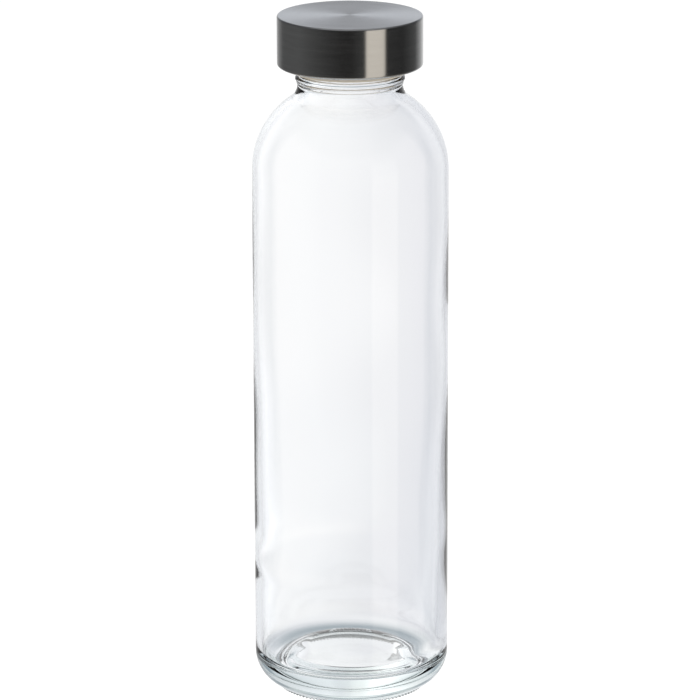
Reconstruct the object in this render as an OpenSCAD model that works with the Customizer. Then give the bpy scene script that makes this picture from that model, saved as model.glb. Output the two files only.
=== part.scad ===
// Glass water bottle with a brushed steel screw cap.
// Millimetres, +Z up, origin on the table plane at the middle of the base.
// The cap has three pieces: a drawn steel shell, a moulded threaded insert that the shell's hem
// is curled under, and a silicone seal ring that lies on the glass rim.

/* [Bottle] */
// Outer diameter of the straight body
body_d = 64; // [56:0.5:72]
// Overall height with the cap screwed down
total_h = 226; // [215:1:260]
// Glass thickness of the body wall
wall = 2.4; // [1.8:0.1:3.2]
// Radius of the rounded heel between wall and base
heel_r = 11.2; // [9:0.1:12]
// Radius of the round shoulder, seen from the side
shoulder_r = 28.4; // [26:0.1:30]
// Outer diameter of the neck below the bead
neck_d = 34.2; // [34:0.1:34.6]
// Inner diameter of the mouth
mouth_d = 28; // [26:0.5:28.5]
// Inner diameter of the neck below the bead
neck_bore = 30; // [28:0.5:30.5]

/* [Base] */
// Outer diameter of the flat ring that the bottle stands on
foot_d = 49.8; // [47:0.1:50]
// Width of that ring
foot_w = 2.2; // [1.5:0.1:2.6]
// Height of the push-up under the base
punt_h = 3.5; // [2:0.1:5]
// Diameter of the flat top of the push-up
punt_d = 37; // [32:0.5:38]
// Glass thickness of the base over the push-up
base_t = 9; // [6:0.1:10]

/* [Thread] */
// Height that the cap rises in one turn
pitch = 4; // [3.8:0.1:4.4]
// Turns of thread on the glass
glass_turns = 1.5; // [1:0.25:1.5]
// Turns of thread in the cap
cap_turns = 1.25; // [1:0.25:1.25]
// Diameter over the glass thread
thread_d = 35.6; // [35.4:0.1:35.8]

/* [Cap] */
// Outer diameter of the steel shell
cap_d = 47.3; // [46.8:0.1:50]
// Height of the steel shell
cap_h = 16.5; // [16:0.1:17]
// Sheet thickness of the shell
sheet_t = 0.45; // [0.3:0.05:0.6]
// Height of the insert's threaded skirt that shows below the shell
insert_show = 1.7; // [1:0.1:2.2]
// Number of stiffening ribs inside the insert
insert_ribs = 16; // [8:1:24]
// Thickness of the silicone seal ring
seal_t = 1.5; // [1:0.1:2]

/* [Hidden] */
fine = 128;                                // facets of a full turn where OpenSCAD draws one
gap = 0.05;                                // rest gap between faces that bear on each other
slip = 0.3;                                // gap between round faces of pieces that move apart

body_r = body_d / 2;
neck_r = neck_d / 2;
mouth_r = mouth_d / 2;
foot_r = foot_d / 2;
cap_r = cap_d / 2;

// Cap heights, from the top down, and the rolled hem at its lower edge
roll_r = 1;
hem_in = 0.7;
shell_bottom = total_h - cap_h;
insert_top = total_h - sheet_t - gap;
ceiling_t = 1.8;
ceiling = insert_top - ceiling_t;
rim = ceiling - gap - seal_t - gap;        // top of the glass
insert_bottom = shell_bottom - insert_show;

// Finish: the threaded part of the glass above the bead
finish_r = neck_r - 0.4;
bead_r = neck_r + 0.7;
bead_half = 0.7;
bead_z = insert_bottom - 1.7 - bead_half;
rim_round = 0.7;

// Thread sections, as half widths along Z at the foot and at the crest of the thread
crest_r = thread_d / 2;
glass_foot = 1.1;
glass_crest = 0.5;
cap_foot = 0.75;
cap_crest = 0.4;
bury = 0.35;                               // how far a thread runs into the wall behind it
cap_bore_r = crest_r + slip;
cap_crest_r = finish_r + slip + 0.1;
glass_thread_z = rim - 3.2 - glass_turns * pitch;
thread_play = 0.28;                        // gap along Z between the flanks that pull on each other
flank = (cap_foot + glass_foot + cap_crest + glass_crest) / 2;
cap_thread_z = glass_thread_z - flank - thread_play;
stations = 48;                             // thread sections in one turn

// Shoulder: an arc of shoulder_r off the body, then a hollow fillet into the neck
neck_fillet = 5.4;
mouth_fillet = 6;
fillet_x = neck_r + neck_fillet;
arc_x = body_r - shoulder_r;
arc_turn = acos((fillet_x - arc_x) / (shoulder_r + neck_fillet));
fillet_z = bead_z - bead_half - 1.4;
shoulder_z = fillet_z - (shoulder_r + neck_fillet) * sin(arc_turn);

// Inside of the base
floor_z = punt_h + base_t;
trough_z = punt_h + base_t - 3.3;
dome_r = 15;
dome_rise = 0.2;
inner_r = body_r - wall;
inner_heel = 3.5;

// Points of an arc about [x, z] from angle a to angle b
function arc(x, z, r, a, b, n = 12) =
    [for (i = [0:n]) let (t = a + (b - a) * i / n) [x + r * cos(t), z + r * sin(t)]];

// Smooth step from [x1, z1] to [x2, z2], level at both ends
function ease(x1, z1, x2, z2, n = 10) =
    [for (i = [0:n]) let (t = i / n) [x1 + (x2 - x1) * t, z1 + (z2 - z1) * (1 - cos(180 * t)) / 2]];

// Outer line of the glass, from the middle of the base up to the rim
function outer_line() = concat(
    [[0, punt_h]],
    ease(punt_d / 2, punt_h, foot_r - foot_w, 0),
    [[foot_r, 0]],
    arc(body_r - heel_r, heel_r, heel_r, -90 + foot_slope, 0, 14),
    arc(arc_x, shoulder_z, shoulder_r, 0, arc_turn, 20),
    arc(fillet_x, fillet_z, neck_fillet, 180 + arc_turn, 180, 8),
    arc(bead_r - bead_half, bead_z, bead_half, -90, 90, 10),
    [[finish_r, bead_z + bead_half]],
    arc(finish_r - rim_round, rim - rim_round, rim_round, 0, 90, 5));

// The heel arc meets the foot ring where the ring ends
foot_slope = asin((foot_r - (body_r - heel_r)) / heel_r);

// Inner line of the glass, from the rim down to the middle of the floor
function inner_line() = concat(
    arc(mouth_r + rim_round, rim - rim_round, rim_round, 90, 180, 5),
    ease(mouth_r, bead_z + 4.5, bore_r, bead_z + 1, 6),
    arc(bore_r + mouth_fillet, shoulder_z + inner_reach * sin(inner_turn), mouth_fillet, 180,
        180 + inner_turn, 8),
    arc(arc_x, shoulder_z, shoulder_r - wall, inner_turn, 0, 20),
    arc(inner_r - inner_heel, trough_z + inner_heel, inner_heel, 0, -90, 12),
    ease(inner_r - inner_heel, trough_z, dome_r, floor_z),
    [[0, floor_z + dome_rise]]);

// The inside of the shoulder turns into the neck through a fillet of its own
bore_r = neck_bore / 2;
inner_reach = shoulder_r - wall + mouth_fillet;
inner_turn = acos((bore_r + mouth_fillet - arc_x) / inner_reach);

// Section of a thread at height z: foot half width, crest half width, foot and crest radius
function thread_section(angle, z, foot, crest, foot_r, crest_r) = [
    [foot_r * cos(angle), foot_r * sin(angle), z - foot],
    [crest_r * cos(angle), crest_r * sin(angle), z - crest],
    [crest_r * cos(angle), crest_r * sin(angle), z + crest],
    [foot_r * cos(angle), foot_r * sin(angle), z + foot]];

// How much of the thread stands out near its two ends, from 0 to 1
function run_out(i, count, ramp = 7) = min(1, i / ramp, (count - i) / ramp);

// One helical thread that starts at height z_start and climbs by pitch each turn
module thread(z_start, turns, root_r, crest_r, foot, crest) {
    count = round(turns * stations);
    side = crest_r > root_r ? -1 : 1;      // the buried foot lies on the wall's side
    points = [for (i = [0:count])
        let (k = 0.15 + 0.85 * run_out(i, count), angle = 360 * i / stations)
        each thread_section(angle, z_start + pitch * i / stations, foot,
            foot + (crest - foot) * k, root_r + side * bury, root_r + (crest_r - root_r) * k)];
    sides = [for (i = [0:count - 1], j = [0:3])
        let (a = 4 * i + j, b = 4 * i + (j + 1) % 4)
        each [[a, b, b + 4], [a, b + 4, a + 4]]];
    ends = [[0, 3, 2], [0, 2, 1], [4 * count, 4 * count + 1, 4 * count + 2],
        [4 * count, 4 * count + 2, 4 * count + 3]];
    flip = crest_r < root_r;
    faces = concat(sides, ends);
    polyhedron(points, flip ? [for (f = faces) [f[2], f[1], f[0]]] : faces);
}

// The one-piece glass bottle
module glass_bottle() {
    color([0.86, 0.92, 0.93, 0.4]) {
        rotate_extrude($fn = fine) polygon(concat(outer_line(), inner_line()));
        thread(glass_thread_z, glass_turns, finish_r, crest_r, glass_foot, glass_crest);
    }
}

// Drawn steel shell: flat top, straight skirt, and a hem rolled in under the insert's outer wall
module cap_shell() {
    edge_r = 0.6;
    color([0.55, 0.55, 0.54]) rotate_extrude($fn = fine) polygon(concat(
        [[0, total_h]],
        arc(cap_r - edge_r, total_h - edge_r, edge_r, 90, 0, 6),
        arc(cap_r - roll_r, shell_bottom + roll_r, roll_r, 0, -90, 6),
        [[cap_r - roll_r - hem_in, shell_bottom], [cap_r - roll_r - hem_in, shell_bottom + sheet_t]],
        arc(cap_r - roll_r, shell_bottom + roll_r, roll_r - sheet_t, -90, 0, 5),
        arc(cap_r - edge_r, total_h - edge_r, edge_r - sheet_t, 0, 90, 5),
        [[0, total_h - sheet_t]]));
}

// Moulded insert: ceiling, threaded skirt, outer wall that stands on the hem, and ribs between
module cap_insert() {
    outer_r = cap_r - sheet_t - gap;
    outer_in = outer_r - 1.3;
    skirt_r = cap_bore_r + 1.1;
    ledge_z = shell_bottom + sheet_t + gap;
    corner = 0.6;
    lead_in = 0.4;
    lip_r = 0.5;
    boss_r = mouth_r - 0.8;
    boss_in = boss_r - 1.2;
    boss_drop = 0.9;
    rib_t = 0.9;
    rib_bite = 0.2;
    rib_bottom = shell_bottom + 1.6;
    color([0.80, 0.78, 0.74]) {
        rotate_extrude($fn = fine) polygon(concat(
            [[0, ceiling], [0, insert_top], [outer_r - corner, insert_top], [outer_r, insert_top - corner]],
            arc(outer_r - corner, ledge_z + corner, corner, 0, -90, 5),
            [[outer_in, ledge_z], [outer_in, ceiling], [skirt_r, ceiling],
            [skirt_r, insert_bottom + lip_r], [skirt_r - lip_r, insert_bottom],
            [cap_bore_r + lead_in, insert_bottom], [cap_bore_r, insert_bottom + lead_in],
            [cap_bore_r, ceiling],
            [boss_r, ceiling], [boss_r, ceiling - boss_drop],
            [boss_in, ceiling - boss_drop], [boss_in, ceiling]]));
        for (i = [0:insert_ribs - 1])
            rotate(360 / insert_ribs * i)
                translate([skirt_r - rib_bite, -rib_t / 2, rib_bottom])
                    cube([outer_in - skirt_r + 2 * rib_bite, rib_t, ceiling + rib_bite - rib_bottom]);
        thread(cap_thread_z, cap_turns, cap_bore_r, cap_crest_r, cap_foot, cap_crest);
    }
}

// Silicone ring between the glass rim and the insert's ceiling
module seal_ring() {
    color([0.90, 0.90, 0.88]) translate([0, 0, rim + gap]) difference() {
        cylinder(h = seal_t, r = cap_bore_r - slip, $fn = fine);
        translate([0, 0, -1]) cylinder(h = seal_t + 2, r = mouth_r - 0.8 + slip, $fn = fine);
    }
}

glass_bottle();
cap_shell();
cap_insert();
seal_ring();
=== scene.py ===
"""Looks of a glass water bottle with a brushed steel screw cap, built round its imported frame.

The glass, the steel shell, the plastic insert and the silicone seal are each one closed mesh made of
rings round the bottle's axis. Lengths are millimetres up to the meshes, and metres in the materials
and the studio.
"""

import math

import bpy
import numpy as np
from mathutils import Matrix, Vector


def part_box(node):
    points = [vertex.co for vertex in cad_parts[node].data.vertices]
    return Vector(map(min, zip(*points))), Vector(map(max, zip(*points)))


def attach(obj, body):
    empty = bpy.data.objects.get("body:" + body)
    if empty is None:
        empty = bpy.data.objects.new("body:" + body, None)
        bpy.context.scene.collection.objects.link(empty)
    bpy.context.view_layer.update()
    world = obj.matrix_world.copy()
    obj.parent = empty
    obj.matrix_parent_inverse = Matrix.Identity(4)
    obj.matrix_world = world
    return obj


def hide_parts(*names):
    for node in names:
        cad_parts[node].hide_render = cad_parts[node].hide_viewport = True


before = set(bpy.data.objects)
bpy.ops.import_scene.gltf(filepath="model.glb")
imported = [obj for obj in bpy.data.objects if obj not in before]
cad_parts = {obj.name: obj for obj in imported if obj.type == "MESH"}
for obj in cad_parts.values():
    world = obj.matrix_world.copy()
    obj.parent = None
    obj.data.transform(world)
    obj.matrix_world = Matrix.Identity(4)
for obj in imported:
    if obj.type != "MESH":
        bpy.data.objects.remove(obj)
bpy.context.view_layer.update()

MM = 0.001
TURN = 2 * math.pi
SEED = 7

# ---------------------------------------------------------------- sizes, from the frame's boxes


def box_mm(node):
    """Lowest and highest corner of a CAD node, in millimetres."""
    return [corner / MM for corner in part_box(node)]


glass_high = box_mm("glass_bottle")[1]
shell_low, shell_high = box_mm("cap_shell")
insert_low, insert_high = box_mm("cap_insert")
seal_low, seal_high = box_mm("seal_ring")

BODY_R = glass_high.x
RIM = glass_high.z
CAP_R = shell_high.x
CAP_TOP = shell_high.z
SHELL_BOTTOM = shell_low.z
INSERT_TOP = insert_high.z
LIP = insert_low.z

# the rest repeats the CAD's own dimensions
GAP = 0.05
CEILING = seal_high.z + GAP
SHEET = 0.45
ROLL_R = 1.0
HEEL_R = 11.2
SHOULDER_R = 28.4
NECK_R = 17.1
NECK_FILLET = 5.4
MOUTH_R = 14.0
MOUTH_FILLET = 6.0
NECK_BORE_R = 15.0
FINISH_R = NECK_R - 0.4
BEAD_R = NECK_R + 0.7
BEAD_HALF = 0.7
BEAD_Z = LIP - 2.4
FOOT_R = 24.9
FOOT_W = 2.2
PUSH_UP = 3.5
PITCH = 4.0
GLASS_TURNS = 1.5
GLASS_THREAD_Z = RIM - 3.2 - GLASS_TURNS * PITCH
THREAD_R = 17.8
CAP_TURNS = 1.25
THREAD_DROP = 1.655
CAP_THREAD_Z = GLASS_THREAD_Z - THREAD_DROP
CAP_BORE_R = THREAD_R + 0.3
CAP_CREST_R = FINISH_R + 0.4
SKIRT_R = CAP_BORE_R + 1.1

# the shoulder's arc runs off the body and into the neck's fillet
ARC_X = BODY_R - SHOULDER_R
FILLET_X = NECK_R + NECK_FILLET
FILLET_Z = BEAD_Z - 2.1
ARC_TURN = math.degrees(math.acos((FILLET_X - ARC_X) / (SHOULDER_R + NECK_FILLET)))
SHOULDER_Z = FILLET_Z - (SHOULDER_R + NECK_FILLET) * math.sin(math.radians(ARC_TURN))


# ---------------------------------------------------------------- outlines and rings


def arc(x, z, r, start, end, steps):
    """Points (radius, height) of an arc about (x, z), from angle start to end in degrees."""
    angles = np.radians(np.linspace(start, end, steps + 1))
    return [(x + r * math.cos(a), z + r * math.sin(a)) for a in angles]


def line(start, end, steps):
    """Points from start to end, both ends included."""
    return [tuple(p) for p in np.linspace(start, end, steps + 1)]


def ease(start, end, steps):
    """Points of a smooth step from start to end, level at both ends."""
    (r0, z0), (r1, z1) = start, end
    shares = np.linspace(0, 1, steps + 1)
    return [(r0 + (r1 - r0) * t, z0 + (z1 - z0) * (1 - math.cos(math.pi * t)) / 2) for t in shares]


def step(value, start, full):
    """0 as far as start, 1 from full on and smooth between. The start may be the higher of the two."""
    share = np.clip((value - start) / (full - start), 0, 1)
    return share * share * (3 - 2 * share)


def spread(outline, segments):
    """Arrays of radius, height and angle for every point of an outline turned round the axis."""
    angle = np.arange(segments) * TURN / segments
    flat = np.array(outline, float)
    shape = (len(outline), segments)
    radius = np.broadcast_to(flat[:, :1], shape).copy()
    height = np.broadcast_to(flat[:, 1:], shape).copy()
    return radius, height, np.broadcast_to(angle, shape)


def ring_faces(rings, segments, first, closed):
    """Quads between neighbouring rings, whose vertices start at index first."""
    ring = np.arange(rings if closed else rings - 1)
    low = first + ring[:, None] * segments
    high = first + ((ring + 1) % rings)[:, None] * segments
    here = np.arange(segments)[None, :]
    after = (here + 1) % segments
    return np.stack([low + here, low + after, high + after, high + here], -1).reshape(-1, 4)


def ring_points(radius, height, angle):
    """One row (x, y, z) for each point of the rings."""
    return np.stack([radius * np.cos(angle), radius * np.sin(angle), height], -1).reshape(-1, 3)


def new_piece(name, points, faces, marks=None):
    """An object made from points in millimetres and faces, with a value per point for each mark."""
    mesh = bpy.data.meshes.new(name)
    mesh.from_pydata((points * MM).tolist(), [], faces)
    for mark, values in (marks or {}).items():
        layer = mesh.attributes.new(mark, "FLOAT", "POINT")
        layer.data.foreach_set("value", values.astype(np.float32))
    mesh.validate()
    mesh.update()
    piece = bpy.data.objects.new(name, mesh)
    bpy.context.scene.collection.objects.link(piece)
    return piece


def ring_mesh(name, radius, height, angle, closed=False, marks=None):
    """A closed mesh from rings of points. An open stack starts and ends in a point on the axis."""
    rings, segments = radius.shape
    points = ring_points(radius, height, angle)
    faces = ring_faces(rings, segments, 0, closed).tolist()
    marked = {mark: np.broadcast_to(values, (rings, segments)).reshape(-1)
              for mark, values in (marks or {}).items()}
    if not closed:
        start, end = len(points), len(points) + 1
        last = (rings - 1) * segments
        points = np.concatenate([points, [[0, 0, height[0].mean()], [0, 0, height[-1].mean()]]])
        marked = {mark: np.append(values, [values[0], values[-1]]) for mark, values in marked.items()}
        for j in range(segments):
            after = (j + 1) % segments
            faces.append([start, after, j])
            faces.append([end, last + j, last + after])
    return new_piece(name, points, faces, marked)


def sheet_mesh(name, outer, inner):
    """A cup of sheet: the outer rings end at the axis, and the inner rings come back from it."""
    rings_out, rings_in = len(outer[0]), len(inner[0])
    segments = outer[0].shape[1]
    points = ring_points(*(np.concatenate(pair) for pair in zip(outer, inner)))
    faces = ring_faces(rings_out, segments, 0, False).tolist()
    faces += ring_faces(rings_in, segments, rings_out * segments, False).tolist()
    top, under = len(points), len(points) + 1
    points = np.concatenate([points, [[0, 0, outer[1][-1].mean()], [0, 0, inner[1][0].mean()]]])
    last_out, first_in = (rings_out - 1) * segments, rings_out * segments
    last_in = (rings_out + rings_in - 1) * segments
    for j in range(segments):
        after = (j + 1) % segments
        faces.append([top, last_out + j, last_out + after])
        faces.append([under, first_in + after, first_in + j])
        faces.append([last_in + j, last_in + after, after, j])
    return new_piece(name, points, faces)


def finish_piece(piece, material, body, node, sharp):
    """Rides the piece on its body, in place of its CAD node. Edges above sharp degrees stay sharp."""
    piece.data.shade_smooth()
    piece.data.set_sharp_from_angle(angle=math.radians(sharp))
    piece.data.materials.append(material)
    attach(piece, body)
    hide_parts(node)


# a thread's flank as a share of its half width, and its fading ends in turns
THREAD_FLANK = 0.62
THREAD_FADE = 0.14


def thread_height(height, angle, start_z, turns, half_width):
    """How far a right-hand thread stands out at each point, from 0 to 1, with faded ends."""
    share = angle / TURN
    nearest = np.round((height - start_z) / PITCH - share)
    along = share + nearest
    off = height - start_z - PITCH * along
    crest = step(np.abs(off), half_width, half_width * (1 - THREAD_FLANK))
    return crest * step(along, 0, THREAD_FADE) * step(along, turns, turns - THREAD_FADE)


# ---------------------------------------------------------------- glass bottle

TEETH = 108
TOOTH_DEPTH = 0.6
RING_TOP = 0.95
GLASS_SEGMENTS = TEETH * 4
GLASS_THREAD_HALF = 1.1
RIM_ROUND = 0.9
# radius of the glass's rings next to the point on the axis
GLASS_HUB_R = 0.6

DISC_R = 18.35
DISC_DOME = 0.15
DISC_SLOPE = 1.7
UNDER_Z = 1.65

# thickness of the wall above, then what is added between two heights
WALL_LEFT = (1.25, [(1.45, 121, 37), (-0.45, 46, 40)])
WALL_RIGHT = (1.3, [(2.0, 112, 14)])

# slow ripples of the thickness: how many, shortest and longest in height, depth of the shortest
RIPPLES = 9
SHORTEST, LONGEST = 28, 90
RIPPLE_DEPTH = 0.016

# direction in degrees, height, half length, half width in degrees, added thickness
WALL_DENTS = [
    (180, 45, 4.5, 36, -0.6),
    (0, 50, 8, 40, -0.15),
    (96, 48, 9, 35, 0.3),
    (262, 60, 7, 35, -0.3),
]


def side_wall(height, thickness, additions):
    """Thickness of one side of the wall at each height."""
    for size, start, full in additions:
        thickness = thickness + size * step(height, start, full)
    return thickness


def blown_wall(height, angle):
    """Thickness of the blown wall: thin above, thick below, thickest low on the right."""
    noise = np.random.default_rng(SEED)
    left, right = side_wall(height, *WALL_LEFT), side_wall(height, *WALL_RIGHT)
    thickness = (right + left) / 2 + (right - left) / 2 * np.cos(angle)
    for _ in range(RIPPLES):
        waves = noise.integers(1, 4)
        length = noise.uniform(SHORTEST, LONGEST)
        phase, tilt = noise.uniform(0, TURN, 2)
        size = RIPPLE_DEPTH * length / SHORTEST
        thickness = thickness + size * np.cos(waves * angle + phase) * np.cos(TURN * height / length + tilt)
    for turn, middle, long, wide, size in WALL_DENTS:
        off = (angle - math.radians(turn) + math.pi) % TURN - math.pi
        bell = np.exp(-((height - middle) / long) ** 2 - (off / math.radians(wide)) ** 2)
        thickness = thickness + size * bell
    return thickness


def glass_outside():
    """Rings of the outer surface, from the middle of the underside to the top of the rim."""
    foot_in = FOOT_R - FOOT_W
    under = line((GLASS_HUB_R, PUSH_UP + DISC_DOME), (DISC_R - 0.2, PUSH_UP), 12)
    under += ease((DISC_R, PUSH_UP - 0.02), (DISC_R + DISC_SLOPE, UNDER_Z), 10)
    under += ease((DISC_R + 2, UNDER_Z - 0.02), (foot_in - 0.3, 0.9), 5)
    foot = [(foot_in, 0.0), (foot_in + 0.5, 0.0), (FOOT_R - 0.5, 0.0), (FOOT_R, 0.0)]
    tip = math.degrees(math.asin((FOOT_R + 0.3 - (BODY_R - HEEL_R)) / HEEL_R))
    wall = arc(BODY_R - HEEL_R, HEEL_R, HEEL_R, tip - 90, 0, 26)
    wall += line((BODY_R, HEEL_R + 2), (BODY_R, SHOULDER_Z - 2), 64)
    wall += arc(ARC_X, SHOULDER_Z, SHOULDER_R, 0, ARC_TURN, 44)
    wall += arc(FILLET_X, FILLET_Z, NECK_FILLET, 180 + ARC_TURN, 180, 14)[1:]
    wall += ease((NECK_R, FILLET_Z + 0.2), (BEAD_R - 0.05, BEAD_Z - 0.15), 14)
    wall += arc(BEAD_R - BEAD_HALF, BEAD_Z, BEAD_HALF, -12, 84, 10)
    wall += line((FINISH_R, BEAD_Z + BEAD_HALF + 0.3), (FINISH_R, RIM - 1.3), 78)
    wall += arc(FINISH_R - RIM_ROUND, RIM - RIM_ROUND, RIM_ROUND, 0, 90, 8)
    radius, height, angle = spread(under + foot + wall, GLASS_SEGMENTS)
    # the standing ring is knurled: rounded teeth with grooves between
    tooth = 0.5 - 0.5 * np.cos(TEETH * angle)
    on_foot = (np.arange(len(radius)) >= len(under)) & (np.arange(len(radius)) < len(under) + len(foot))
    height[on_foot] += TOOTH_DEPTH * tooth[on_foot] ** 1.2
    in_thread = (height > BEAD_Z + BEAD_HALF) & (height < RIM - 1)
    crest = thread_height(height, angle, GLASS_THREAD_Z, GLASS_TURNS, GLASS_THREAD_HALF)
    radius[in_thread] += (THREAD_R - FINISH_R) * crest[in_thread]
    return radius, height, angle


BLANK_WALL = 2.3
FLOOR = PUSH_UP + 9.0
HEEL_STEPS = 22
FLOOR_STEPS = 60


def bottom_back(inner_r):
    """The thick bottom's top at the back and sides: a wide hollow heel, then a gentle dome."""
    heel, low, turn = 4.4, 8.7, 32
    level_r, steepness = 14, 1.84
    outline = arc(inner_r - heel, low + heel, heel, 0, -90 - turn, HEEL_STEPS)
    edge, edge_z = outline[-1]
    for r in np.linspace(edge, GLASS_HUB_R, FLOOR_STEPS + 1)[1:]:
        share = max(0.0, (r - level_r) / (edge - level_r))
        outline.append((r, FLOOR - (FLOOR - edge_z) * share ** steepness))
    return outline


def bottom_front(inner_r):
    """The same at the front, where the glass settled thicker: a flat top as far as a tight heel."""
    heel, low, brow_r = 2.5, 9.75, 25.2
    sag, fall = 0.3, 0.8
    outline = arc(inner_r - heel, low + heel, heel, 0, -90, HEEL_STEPS)
    edge = inner_r - heel
    for r in np.linspace(edge, GLASS_HUB_R, FLOOR_STEPS + 1)[1:]:
        settled = sag * step(r, 10, 21) + fall * step(r, 21.5, 25)
        brow = (FLOOR - sag - fall - low) * step(r, brow_r, edge)
        outline.append((r, FLOOR - settled - brow))
    return outline


def glass_inside():
    """Rings of the inner surface, from the rim down to the middle of the floor."""
    reach = SHOULDER_R - BLANK_WALL + MOUTH_FILLET
    turn = math.degrees(math.acos((NECK_BORE_R + MOUTH_FILLET - ARC_X) / reach))
    fillet_z = SHOULDER_Z + reach * math.sin(math.radians(turn))
    inner_r = BODY_R - BLANK_WALL
    outline = arc(MOUTH_R + RIM_ROUND, RIM - RIM_ROUND, RIM_ROUND, 90, 180, 8)
    outline += line((MOUTH_R, RIM - 2), (MOUTH_R, BEAD_Z + 5), 6)
    outline += ease((MOUTH_R, BEAD_Z + 4.5), (NECK_BORE_R, BEAD_Z + 1), 8)
    outline += arc(NECK_BORE_R + MOUTH_FILLET, fillet_z, MOUTH_FILLET, 180, 180 + turn, 16)
    outline += arc(ARC_X, SHOULDER_Z, SHOULDER_R - BLANK_WALL, turn, 0, 44)[1:]
    outline += line((inner_r, SHOULDER_Z - 1.5), (inner_r, FLOOR + 2), 100)
    radius, height, angle = spread(outline + bottom_back(inner_r), GLASS_SEGMENTS)
    front_radius, front_height, _ = spread(outline + bottom_front(inner_r), GLASS_SEGMENTS)
    front = step(-np.sin(angle), 0.25, 0.85)
    radius += (front_radius - radius) * front
    height += (front_height - height) * front
    # the blown wall's thickness fades out at the floor and on the shoulder
    hold = step(height, FLOOR, FLOOR + 6) * step(height, 198, 174)
    radius += (BLANK_WALL - blown_wall(height, angle)) * hold * (radius > inner_r * 0.5)
    return radius, height, angle


def make_glass(material):
    """The one-piece bottle, outer and inner surface in one closed mesh."""
    outside, inside = glass_outside(), glass_inside()
    radius, height, angle = (np.concatenate(pair) for pair in zip(outside, inside))
    inner = np.zeros(len(radius))
    inner[len(outside[0]):] = 1
    # marks where painted shade darkens the knurled ring, most of all in the grooves between its teeth
    on_ring = (np.abs(radius - (FOOT_R - FOOT_W / 2)) < FOOT_W / 2 + 0.1) & (height < RING_TOP)
    knurl_shade = on_ring * (0.8 - 0.2 * np.cos(TEETH * angle))
    bottle = ring_mesh("bottle_glass", radius, height, angle,
                       marks={"inner_wall": inner[:, None], "knurl_shade": knurl_shade})
    bottle.visible_shadow = False
    bottle.visible_diffuse = False
    finish_piece(bottle, material, "bottle", "glass_bottle", sharp=60)


# ---------------------------------------------------------------- cap and seal

CAP_SEGMENTS = 360
SHELL_EDGE = 0.6
HEM = 0.7
RIBS = 16
RIB_HALF = 0.55
RIB_BOTTOM = SHELL_BOTTOM + 1.6
INSERT_WALL = 1.3
INSERT_CORNER = 0.6
INSERT_BEVEL = 0.5
CAP_THREAD_HALF = 0.75
LIP_ROUND = 0.5
LEAD_IN = 0.4
BOSS_R = MOUTH_R - 0.8
BOSS_W = 1.2
BOSS_DROP = 0.9
SEAL_ROUND = 0.25
# radius of the cap's rings next to the point on the axis
HUB_R = 0.5


def make_shell(material):
    """Drawn steel shell with a rounded top edge and its hem rolled in."""
    inner = CAP_R - SHEET
    flat_r, edge_r, edge_z = CAP_R - SHELL_EDGE - 0.6, CAP_R - SHELL_EDGE, CAP_TOP - SHELL_EDGE
    hem_r, roll_x, roll_z = CAP_R - ROLL_R - HEM, CAP_R - ROLL_R, SHELL_BOTTOM + ROLL_R
    outer = line((hem_r, SHELL_BOTTOM + SHEET), (hem_r, SHELL_BOTTOM), 2)
    outer += arc(roll_x, roll_z, ROLL_R, -90, 0, 12)
    outer += line((CAP_R, roll_z + 0.8), (CAP_R, edge_z - 0.5), 10)
    outer += arc(edge_r, edge_z, SHELL_EDGE, 0, 90, 12)
    outer += line((flat_r, CAP_TOP), (HUB_R, CAP_TOP), 24)
    under = line((HUB_R, CAP_TOP - SHEET), (flat_r, CAP_TOP - SHEET), 12)
    under += arc(edge_r, edge_z, SHELL_EDGE - SHEET, 90, 0, 6)
    under += line((inner, edge_z - 0.5), (inner, roll_z + 0.5), 6)
    under += arc(roll_x, roll_z, ROLL_R - SHEET, 0, -90, 6)
    shell = sheet_mesh("cap_steel_shell", spread(outer, CAP_SEGMENTS), spread(under, CAP_SEGMENTS))
    finish_piece(shell, material, "cap", "cap_shell", sharp=40)


def make_insert(material):
    """Moulded insert: one closed mesh, with the ribs as places where the pocket is shallow."""
    outer_r = CAP_R - SHEET - GAP
    outer_in = outer_r - INSERT_WALL
    ledge = SHELL_BOTTOM + SHEET + GAP
    boss_in, boss_z = BOSS_R - BOSS_W, CEILING - BOSS_DROP
    # unlike the glass, this outline runs down the outside, so the insert's faces point inwards
    outline = line((HUB_R, INSERT_TOP), (outer_r - INSERT_BEVEL, INSERT_TOP), 8)
    outline += [(outer_r, INSERT_TOP - INSERT_BEVEL)]
    outline += arc(outer_r - INSERT_CORNER, ledge + INSERT_CORNER, INSERT_CORNER, 0, -90, 6)
    outline += [(outer_in, ledge)]
    pocket_wall = len(outline)
    outline += [(outer_in, CEILING), (SKIRT_R, CEILING)]
    outline += arc(SKIRT_R - LIP_ROUND, LIP + LIP_ROUND, LIP_ROUND, 0, -90, 5)
    outline += [(CAP_BORE_R + LEAD_IN, LIP), (CAP_BORE_R, LIP + LEAD_IN)]
    bore = line((CAP_BORE_R, LIP + 0.7), (CAP_BORE_R, CEILING - 0.3), 72)
    bore_start = len(outline)
    outline += bore
    outline += [(CAP_BORE_R, CEILING), (BOSS_R, CEILING), (BOSS_R, boss_z)]
    outline += [(boss_in, boss_z), (boss_in, CEILING), (HUB_R, CEILING)]
    radius, height, angle = spread(outline, CAP_SEGMENTS)
    off_rib = np.abs((angle[0] * RIBS / TURN + 0.5) % 1 - 0.5) * TURN * outer_in / RIBS
    for ring in (pocket_wall, pocket_wall + 1):
        height[ring, off_rib < RIB_HALF] = RIB_BOTTOM
    rows = slice(bore_start, bore_start + len(bore))
    crest = thread_height(height[rows], angle[rows], CAP_THREAD_Z, CAP_TURNS, CAP_THREAD_HALF)
    radius[rows] -= (CAP_BORE_R - CAP_CREST_R) * crest
    insert = ring_mesh("cap_plastic_insert", radius, height, angle)
    finish_piece(insert, material, "cap", "cap_insert", sharp=35)


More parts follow.
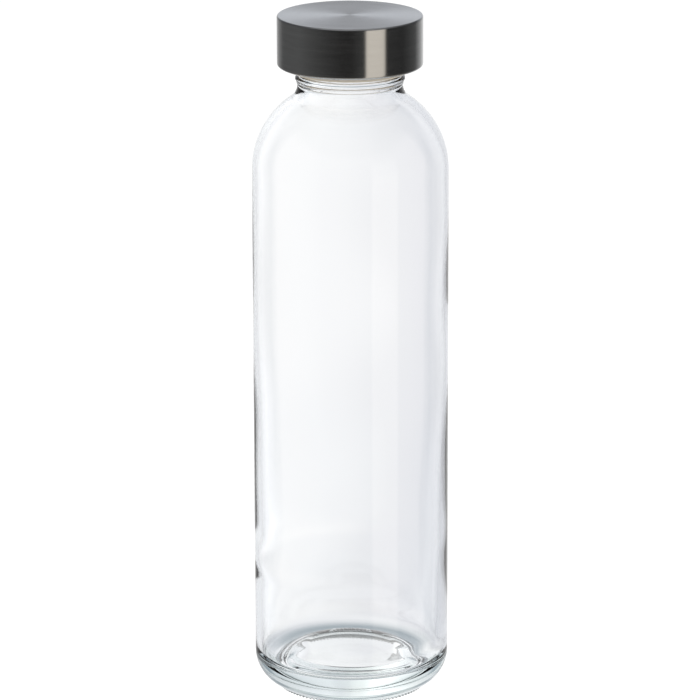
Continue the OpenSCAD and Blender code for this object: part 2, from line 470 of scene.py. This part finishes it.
def make_seal(material):
    """Silicone ring with rounded corners."""
    inner, outer = MOUTH_R - 0.5 + SEAL_ROUND, THREAD_R - SEAL_ROUND
    low, high = seal_low.z + SEAL_ROUND, seal_high.z - SEAL_ROUND
    outline = arc(outer, low, SEAL_ROUND, -90, 0, 5)
    outline += arc(outer, high, SEAL_ROUND, 0, 90, 5)
    outline += arc(inner, high, SEAL_ROUND, 90, 180, 5)
    outline += arc(inner, low, SEAL_ROUND, 180, 270, 5)
    seal = ring_mesh("silicone_seal", *spread(outline, CAP_SEGMENTS), closed=True)
    finish_piece(seal, material, "seal", "seal_ring", sharp=50)


# ---------------------------------------------------------------- materials


class Nodes:
    """A short way to add and join shader nodes."""

    def __init__(self, tree):
        self.tree = tree
        tree.nodes.clear()

    def add(self, kind, settings=None, **inputs):
        """A new node. An underscore in an input's name stands for a space."""
        made = self.tree.nodes.new(kind)
        for key, value in (settings or {}).items():
            setattr(made, key, value)
        for key, value in inputs.items():
            self.set(made, key.replace("_", " "), value)
        return made

    def set(self, made, key, value):
        """Joins an input, named or numbered, to another node's output, or gives it a value."""
        socket = made.inputs[int(key)] if key.isdigit() else made.inputs[key]
        if isinstance(value, bpy.types.NodeSocket):
            self.tree.links.new(value, socket)
        else:
            socket.default_value = value

    def math(self, operation, first, second=0.0):
        """The outcome of a sum or function of one or two values."""
        made = self.tree.nodes.new("ShaderNodeMath")
        made.operation = operation
        for index, value in enumerate((first, second)):
            self.set(made, str(index), value)
        return made.outputs[0]

    def map(self, value, low, high, to_low=0.0, to_high=1.0):
        """A smooth step from to_low, where the value is low, to to_high, where it is high."""
        made = self.tree.nodes.new("ShaderNodeMapRange")
        made.interpolation_type = "SMOOTHSTEP"
        for key, given in zip(("Value", "From Min", "From Max", "To Min", "To Max"),
                              (value, low, high, to_low, to_high)):
            self.set(made, key, given)
        return made.outputs[0]

    def mix(self, share, first, second, blend="MIX"):
        """The first colour with the second blended over it by share."""
        made = self.tree.nodes.new("ShaderNodeMix")
        made.data_type, made.blend_type = "RGBA", blend
        for index, value in ((0, share), (6, first), (7, second)):
            self.set(made, str(index), value)
        return made.outputs[2]

    def ramp(self, share, stops):
        """A colour ramp through stops of place and colour."""
        made = self.tree.nodes.new("ShaderNodeValToRGB")
        band = made.color_ramp
        while len(band.elements) < len(stops):
            band.elements.new(0.5)
        for element, (place, colour) in zip(band.elements, stops):
            element.position, element.color = place, (*colour, 1)
        self.set(made, "Fac", share)
        return made.outputs["Color"]


WHITE = (1.0, 1.0, 1.0, 1)


def new_material(name):
    """A material, its node helper and the Principled shader on its output."""
    material = bpy.data.materials.new(name)
    material.use_nodes = True
    nodes = Nodes(material.node_tree)
    shader = nodes.add("ShaderNodeBsdfPrincipled")
    nodes.add("ShaderNodeOutputMaterial", Surface=shader.outputs["BSDF"])
    return material, nodes, shader


def cloud(nodes, scale, detail):
    """Soft noise in the piece's own space."""
    place = nodes.add("ShaderNodeTexCoord").outputs["Object"]
    return nodes.add("ShaderNodeTexNoise", Vector=place, Scale=scale, Detail=detail).outputs["Fac"]


def round_coordinates(nodes):
    """Radius, angle and height round the bottle's axis, in metres and radians."""
    place = nodes.add("ShaderNodeTexCoord").outputs["Object"]
    parts = nodes.add("ShaderNodeSeparateXYZ", Vector=place).outputs
    square = nodes.math("ADD", nodes.math("MULTIPLY", parts[0], parts[0]),
                        nodes.math("MULTIPLY", parts[1], parts[1]))
    return nodes.math("SQRT", square), nodes.math("ARCTAN2", parts[1], parts[0]), parts[2]


def glass_material():
    """Clear soda-lime glass. Its colour holds painted shade: grey-blue where the wall is seen edge-on, and
    near-black on the knurled ring.
    """
    material, nodes, shader = new_material("clear_soda_lime_glass")
    inner = nodes.add("ShaderNodeAttribute", {"attribute_name": "inner_wall"}).outputs["Fac"]
    # painted shade: the glass's colour turns grey-blue where a surface is seen edge-on, standing in for the
    # dark edges that the surroundings give through the glass; stronger on the outer surface than the inner
    facing = nodes.add("ShaderNodeLayerWeight", Blend=0.5).outputs["Facing"]
    outer_shade_share = nodes.map(facing, 0.62, 0.92)
    inner_shade_share = nodes.map(facing, 0.66, 0.98)
    outer_edge_shade = nodes.mix(outer_shade_share, WHITE, (0.80, 0.83, 0.87, 1))
    inner_edge_shade = nodes.mix(inner_shade_share, WHITE, (0.92, 0.94, 0.96, 1))
    # painted shade: the knurled ring's glass is coloured near-black, most of all in the grooves between its
    # teeth, standing in for the shade where the ring stands on the floor
    knurl_shade = nodes.add("ShaderNodeAttribute", {"attribute_name": "knurl_shade"}).outputs["Fac"]
    clear = nodes.mix(inner, outer_edge_shade, inner_edge_shade)
    nodes.set(shader, "Base Color", nodes.mix(knurl_shade, clear, (0.05, 0.08, 0.10, 1)))
    shader.inputs["Roughness"].default_value = 0.0
    shader.inputs["IOR"].default_value = 1.52
    shader.inputs["Transmission Weight"].default_value = 1.0
    depth = nodes.add("ShaderNodeVolumeAbsorption", Color=(0.66, 0.82, 0.80, 1), Density=7.0)
    nodes.set(nodes.tree.get_output_node("ALL"), "Volume", depth.outputs["Volume"])
    return material


# scales of the brushing's noise: across the lines, along them and with the radius
FINE_BRUSHING = (5200.0, 2.2, 900.0)
BROAD_BRUSHING = (700.0, 0.8, 130.0)


def brushing(nodes, across, along, radius, scales, detail, roughness):
    """Noise drawn out into lines that run round the axis."""
    drawn = [nodes.math("MULTIPLY", way, scale) for way, scale in zip((across, along, radius), scales)]
    lines = nodes.add("ShaderNodeCombineXYZ", X=drawn[0], Y=drawn[1], Z=drawn[2])
    return nodes.add("ShaderNodeTexNoise", Vector=lines.outputs[0], Scale=1.0, Detail=detail,
                     Roughness=roughness).outputs["Fac"]


def steel_material():
    """Stainless steel brushed in circles round the axis, on the side and on the top."""
    material, nodes, shader = new_material("brushed_stainless_steel")
    radius, angle, height = round_coordinates(nodes)
    across = nodes.math("ADD", radius, height)
    fine = brushing(nodes, across, angle, radius, FINE_BRUSHING, 3.0, 0.65)
    broad = brushing(nodes, across, angle, radius, BROAD_BRUSHING, 2.0, 0.5)
    grain = nodes.math("ADD", nodes.math("MULTIPLY", fine, 0.65), nodes.math("MULTIPLY", broad, 0.35))
    nodes.set(shader, "Base Color", nodes.mix(nodes.map(grain, 0.3, 0.7),
                                              (0.53, 0.535, 0.535, 1), (0.60, 0.605, 0.605, 1)))
    nodes.set(shader, "Roughness", nodes.map(grain, 0.3, 0.7, 0.17, 0.23))
    shader.inputs["Metallic"].default_value = 1.0
    shader.inputs["Anisotropic"].default_value = 0.95
    shader.inputs["Anisotropic Rotation"].default_value = 0.25
    tangent = nodes.add("ShaderNodeTangent", {"direction_type": "RADIAL", "axis": "Z"})
    nodes.set(shader, "Tangent", tangent.outputs["Tangent"])
    bump = nodes.add("ShaderNodeBump", Strength=0.06, Distance=0.00003, Height=fine)
    nodes.set(shader, "Normal", bump.outputs["Normal"])
    return material


def plastic_material():
    """Satin moulded plastic in warm grey."""
    material, nodes, shader = new_material("moulded_insert_plastic")
    tone, grain = cloud(nodes, 90.0, 3.0), cloud(nodes, 2600.0, 2.0)
    nodes.set(shader, "Base Color", nodes.mix(tone, (0.47, 0.42, 0.35, 1), (0.54, 0.49, 0.41, 1)))
    nodes.set(shader, "Roughness", nodes.map(grain, 0.3, 0.7, 0.36, 0.5))
    bump = nodes.add("ShaderNodeBump", Strength=0.2, Distance=0.00004, Height=grain)
    nodes.set(shader, "Normal", bump.outputs["Normal"])
    return material


def silicone_material():
    """Milky silicone with a soft sheen."""
    material, nodes, shader = new_material("milky_silicone")
    tone = cloud(nodes, 140.0, 2.0)
    nodes.set(shader, "Base Color", nodes.mix(tone, (0.80, 0.80, 0.78, 1), (0.88, 0.88, 0.86, 1)))
    nodes.set(shader, "Roughness", nodes.map(tone, 0.3, 0.7, 0.42, 0.55))
    shader.inputs["Subsurface Weight"].default_value = 0.3
    shader.inputs["Subsurface Radius"].default_value = (0.002, 0.002, 0.002)
    return material


def floor_material():
    """Plain pale studio floor."""
    material, nodes, shader = new_material("pale_floor")
    tone = cloud(nodes, 3.0, 2.0)
    nodes.set(shader, "Base Color", nodes.mix(tone, (0.90, 0.90, 0.90, 1), (0.92, 0.92, 0.92, 1)))
    shader.inputs["Roughness"].default_value = 0.9
    shader.inputs["Specular IOR Level"].default_value = 0.0
    return material


# ---------------------------------------------------------------- studio

CAMERA_DISTANCE = 1.55
CAMERA_DOWN = 15.71
CAMERA_ROLL = -0.14
CAMERA_LEFT = 0.00025
AIM_HEIGHT = 0.114
FOCAL, SENSOR = 243.0, 36
FLOOR_R = 9

LAMP_AT = (-0.5, -0.4, 2.4)
LAMP_TILT = (-9, -12)
LAMP_SIZE, LAMP_POWER = 2.2, 22


def make_floor():
    """A wide round floor. Glass and steel are lit by the studio's sky alone, so they don't see it."""
    bpy.ops.mesh.primitive_circle_add(vertices=96, radius=FLOOR_R, fill_type="NGON")
    floor = bpy.context.object
    floor.name = "studio_floor"
    floor.data.materials.append(floor_material())
    floor.visible_glossy = False
    floor.visible_transmission = False


def make_camera():
    """The camera looks along +Y, down at the bottle."""
    down = math.radians(CAMERA_DOWN)
    data = bpy.data.cameras.new("camera")
    data.lens, data.sensor_width = FOCAL, SENSOR
    data.clip_start, data.clip_end = 0.01, 60
    camera = bpy.data.objects.new("camera", data)
    bpy.context.scene.collection.objects.link(camera)
    camera.location = (-CAMERA_LEFT, -CAMERA_DISTANCE * math.cos(down),
                       AIM_HEIGHT + CAMERA_DISTANCE * math.sin(down))
    pitch = Matrix.Rotation(math.radians(90) - down, 3, "X")
    roll = Matrix.Rotation(math.radians(CAMERA_ROLL), 3, "Z")
    camera.rotation_euler = (pitch @ roll).to_euler()
    bpy.context.scene.camera = camera


def make_light():
    """One big soft light overhead. It only lights, and isn't seen in glass or steel."""
    data = bpy.data.lights.new("overhead_soft", "AREA")
    data.shape, data.size, data.energy = "DISK", LAMP_SIZE, LAMP_POWER
    lamp = bpy.data.objects.new("overhead_soft", data)
    bpy.context.scene.collection.objects.link(lamp)
    lamp.location = LAMP_AT
    lamp.rotation_euler = (*(math.radians(tilt) for tilt in LAMP_TILT), 0)
    lamp.visible_glossy = False
    lamp.visible_transmission = False


NEUTRAL, WARM = (1.0, 1.0, 1.0), (1.0, 0.92, 0.81)

# compass degrees (0 is behind the bottle, the camera is at 180, right is positive), level, tint
GLOSS = [
    (-180, 0.012, NEUTRAL), (-168, 0.014, NEUTRAL), (-148, 0.034, NEUTRAL), (-114, 0.08, NEUTRAL),
    (-92, 0.112, NEUTRAL), (-48, 0.11, NEUTRAL), (-30, 0.27, NEUTRAL), (-20, 0.45, NEUTRAL),
    (-12, 0.75, NEUTRAL), (-4, 0.95, NEUTRAL), (13, 0.9, NEUTRAL), (23, 0.7, NEUTRAL),
    (40, 0.34, NEUTRAL), (55, 0.09, NEUTRAL), (88, 0.025, NEUTRAL), (121.5, 0.03, NEUTRAL),
    (124.5, 0.93, WARM), (139, 0.95, WARM), (153.5, 0.96, WARM), (156.5, 0.045, NEUTRAL),
    (168, 0.03, NEUTRAL), (176, 0.014, NEUTRAL), (180, 0.012, NEUTRAL),
]

# the same compass, and the colour seen through the glass
THROUGH = [
    (-180, (0.9, 0.9, 0.9)), (-110, (0.9, 0.91, 0.92)), (-76, (0.88, 0.89, 0.91)),
    (-71, (0.42, 0.47, 0.52)), (-60, (0.42, 0.47, 0.52)), (-53, (0.80, 0.82, 0.85)),
    (-37, (0.92, 0.93, 0.95)), (-22, (1.12, 1.13, 1.15)), (-11, (1.24, 1.24, 1.25)), (-6, (1.0, 1.0, 1.005)),
    (-3, (0.955, 0.955, 0.96)), (-1.2, (0.925, 0.93, 0.94)), (0, (0.88, 0.885, 0.90)),
    (1.2, (0.825, 0.83, 0.85)), (3, (0.81, 0.81, 0.84)), (6, (0.785, 0.79, 0.825)),
    (10, (0.87, 0.875, 0.91)), (25, (0.80, 0.81, 0.85)), (53, (0.68, 0.70, 0.74)),
    (60, (0.36, 0.41, 0.46)), (71, (0.36, 0.41, 0.46)), (76, (0.74, 0.75, 0.77)),
    (180, (0.9, 0.9, 0.9)),
]

# laid over the gloss in this order: elevation where a layer starts and is full, colour, blend
GLOSS_LAYERS = [
    (0, 9, (0.70, 0.725, 0.775, 1), "MULTIPLY"),
    (14, 28, (0.10, 0.10, 0.105, 1), "MIX"),
    (42, 72, (0.42, 0.42, 0.43, 1), "MIX"),
    (-32, -50, (0.36, 0.33, 0.28, 1), "MIX"),
    (-52, -66, (0.80, 0.80, 0.80, 1), "MIX"),
]

# the same for what shows through the glass, and the ground's colours
THROUGH_LAYERS = [
    (-14.5, -19.5, (0.955, 0.96, 0.968, 1), "MULTIPLY"),
    (36, 48, (0.45, 0.50, 0.51, 1), "MIX"),
]
GROUND_BEHIND = (0.34, 0.39, 0.43, 1)
GROUND_ASIDE = (0.60, 0.64, 0.66, 1)
GROUND_BELOW = (0.80, 0.82, 0.83, 1)
THROUGH_GAIN = (1.1, 1.1, 1.1, 1)


def degrees_share(degrees):
    """Place of a compass direction on a ramp that runs from -180 to 180 degrees."""
    return (degrees + 180) / 360


def lay_over(nodes, up, sky, layers):
    """The sky with each layer blended in between its two elevations."""
    for start, full, colour, blend in layers:
        sky = nodes.mix(nodes.map(up, start, full), sky, colour, blend)
    return sky


def make_sky():
    """The studio round the bottle: white for the eye, and other colours for gloss and for glass.

    Gloss sees white behind the bottle, dark flats round it and a warm strip light at the front right.
    Through the glass the studio is white, greyer to the right, with narrow grey flats at the sides.
    """
    world = bpy.data.worlds.new("studio")
    bpy.context.scene.world = world
    world.use_nodes = True
    nodes = Nodes(world.node_tree)
    way = nodes.add("ShaderNodeTexCoord").outputs["Generated"]
    parts = nodes.add("ShaderNodeSeparateXYZ", Vector=way).outputs
    compass = nodes.math("DIVIDE", nodes.math("ARCTAN2", parts[0], parts[1]), TURN)
    compass = nodes.math("ADD", compass, 0.5)
    up = nodes.math("MULTIPLY", nodes.math("ARCSINE", parts[2]), 360 / TURN)

    glossy = nodes.ramp(compass, [
        (degrees_share(place), tuple(level * part for part in tint)) for place, level, tint in GLOSS])
    glossy = lay_over(nodes, up, glossy, GLOSS_LAYERS)

    through = nodes.ramp(compass, [(degrees_share(place), colour) for place, colour in THROUGH])
    through = lay_over(nodes, up, through, THROUGH_LAYERS)
    # the ground is dark straight behind the bottle, pale to the sides and pale straight below
    aside = nodes.math("ABSOLUTE", nodes.math("SUBTRACT", compass, 0.5))
    ground = nodes.mix(nodes.map(aside, 35 / 360, 55 / 360), GROUND_BEHIND, GROUND_ASIDE)
    through = nodes.mix(nodes.map(up, -29, -43), through, ground)
    through = nodes.mix(nodes.map(up, -50, -64), through, GROUND_BELOW)
    through = nodes.mix(1.0, through, THROUGH_GAIN, "MULTIPLY")

    path = nodes.add("ShaderNodeLightPath").outputs
    seen = nodes.mix(path["Is Glossy Ray"], WHITE, glossy)
    seen = nodes.mix(path["Is Transmission Ray"], seen, through)
    sky = nodes.add("ShaderNodeBackground", Color=seen, Strength=1.0)
    nodes.add("ShaderNodeOutputWorld", Surface=sky.outputs["Background"])


def main():
    make_camera()
    make_floor()
    make_light()
    make_sky()
    make_glass(glass_material())
    make_shell(steel_material())
    make_insert(plastic_material())
    make_seal(silicone_material())
    view = bpy.context.scene.view_settings
    view.view_transform, view.look = "Standard", "None"


main()
